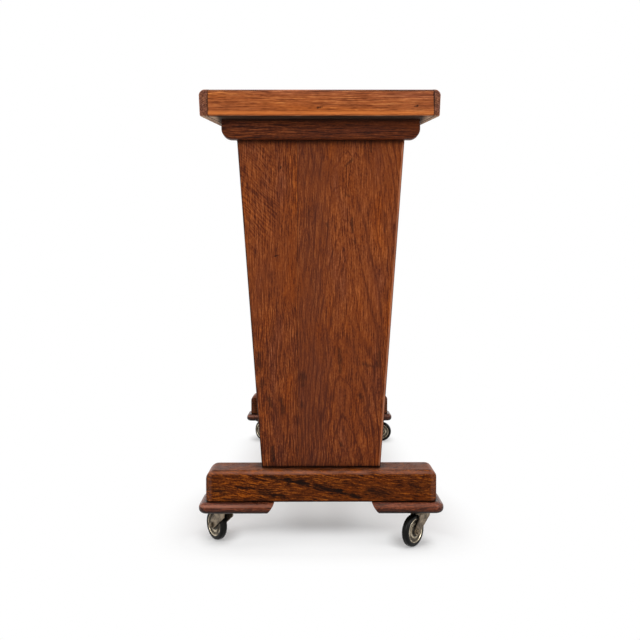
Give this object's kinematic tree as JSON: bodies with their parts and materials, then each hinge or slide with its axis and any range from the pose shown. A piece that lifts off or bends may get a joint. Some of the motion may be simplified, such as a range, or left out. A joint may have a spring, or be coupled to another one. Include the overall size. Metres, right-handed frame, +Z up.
{
  "type": "donation box",
  "caption": "Long floor-standing oak offertory box on swivel casters, with trestle ends, flared top caps, a slatted coin grille, an inner coin chute and a lockable collection flap in the back.",
  "frame": {"origin": "on the floor, at the middle of the box's length and width", "axes": "+Z up, +Y along the box away from the pictured end, +X across it towards the back with the collection flap"},
  "size_m": [0.426, 1.07, 0.787],
  "materials": {
    "oak": "stained and waxed oak, worn at the edges",
    "oak_dark": "dark stained and waxed oak",
    "oak_raw": "unfinished oak, greyed with age",
    "brass": "tarnished brass",
    "steel": "aged zinc-plated steel",
    "rubber": "black rubber, dusty"
  },
  "bodies": {
    "box": {"right_foot": "oak", "left_foot": "oak", "right_pad_front": "oak_dark", "right_pad_back": "oak_dark", "left_pad_front": "oak_dark", "left_pad_back": "oak_dark", "right_end_board_narrow": "oak", "right_end_board_wide": "oak", "left_end_board_narrow": "oak", "left_end_board_wide": "oak", "right_cleat": "oak_dark", "left_cleat": "oak_dark", "right_cap": "oak", "left_cap": "oak", "right_cap_strips": "oak_dark", "left_cap_strips": "oak_dark", "front_rail": "oak", "back_rail": "oak", "coin_slats": "oak", "front_board_lower": "oak", "front_board_middle": "oak", "front_board_upper": "oak", "back_board_upper": "oak", "back_board_lower": "oak", "back_stiles": "oak", "bottom_board": "oak_raw", "bottom_bearers": "oak_raw", "front_chute_board": "oak_raw", "back_chute_board": "oak_raw", "flap_stops": "oak_raw", "hinge_frame_leaves": "brass", "hinge_pins": "brass", "hinge_frame_screws": "brass", "caster_plates": "steel", "caster_kingpins": "steel", "caster_bearing_balls": "steel", "caster_screws": "steel"},
    "flap": {"flap": "oak", "hinge_flap_leaves": "brass", "hinge_flap_screws": "brass", "lock_cylinder": "brass", "lock_nut": "brass"},
    "lock": {"lock_plug": "brass", "lock_cam": "steel"},
    "caster_right_front_swivel": {"caster_right_front_fork": "steel", "caster_right_front_axle": "steel"},
    "caster_right_front_roll": {"caster_right_front_wheel": "steel", "caster_right_front_tyre": "rubber"},
    "caster_right_back_swivel": {"caster_right_back_fork": "steel", "caster_right_back_axle": "steel"},
    "caster_right_back_roll": {"caster_right_back_wheel": "steel", "caster_right_back_tyre": "rubber"},
    "caster_left_front_swivel": {"caster_left_front_fork": "steel", "caster_left_front_axle": "steel"},
    "caster_left_front_roll": {"caster_left_front_wheel": "steel", "caster_left_front_tyre": "rubber"},
    "caster_left_back_swivel": {"caster_left_back_fork": "steel", "caster_left_back_axle": "steel"},
    "caster_left_back_roll": {"caster_left_back_wheel": "steel", "caster_left_back_tyre": "rubber"}
  },
  "joints": [
    {"name": "flap_hinge", "type": "hinge", "parent": "box", "child": "flap", "pos_m": [0.12292, 0, 0.43376], "axis": [0, -1, 0], "range_deg": [0, 100]},
    {"name": "lock_turn", "type": "hinge", "parent": "flap", "child": "lock", "pos_m": [0.10729, 0, 0.263], "axis": [-0.9974, 0, 0.0714], "range_deg": [0, 90]},
    {"name": "right_front_swivel", "type": "hinge", "parent": "box", "child": "caster_right_front_swivel", "pos_m": [-0.175, -0.479, 0.05], "axis": [0, 0, 1], "continuous": true},
    {"name": "right_back_swivel", "type": "hinge", "parent": "box", "child": "caster_right_back_swivel", "pos_m": [0.175, -0.487, 0.05], "axis": [0, 0, 1], "continuous": true},
    {"name": "left_front_swivel", "type": "hinge", "parent": "box", "child": "caster_left_front_swivel", "pos_m": [-0.157, 0.471, 0.05], "axis": [0, 0, 1], "continuous": true},
    {"name": "left_back_swivel", "type": "hinge", "parent": "box", "child": "caster_left_back_swivel", "pos_m": [0.163, 0.471, 0.05], "axis": [0, 0, 1], "continuous": true},
    {"name": "right_front_roll", "type": "hinge", "parent": "caster_right_front_swivel", "child": "caster_right_front_roll", "pos_m": [-0.18854, -0.46166, 0.028], "axis": [-0.788, -0.6157, 0], "continuous": true},
    {"name": "right_back_roll", "type": "hinge", "parent": "caster_right_back_swivel", "child": "caster_right_back_roll", "pos_m": [0.16086, -0.50385, 0.028], "axis": [0.766, -0.6428, 0], "continuous": true},
    {"name": "left_front_roll", "type": "hinge", "parent": "caster_left_front_swivel", "child": "caster_left_front_roll", "pos_m": [-0.17114, 0.48785, 0.028], "axis": [-0.766, -0.6428, 0], "continuous": true},
    {"name": "left_back_roll", "type": "hinge", "parent": "caster_left_back_swivel", "child": "caster_left_back_roll", "pos_m": [0.18467, 0.46718, 0.028], "axis": [0.1736, 0.9848, 0], "continuous": true}
  ]
}
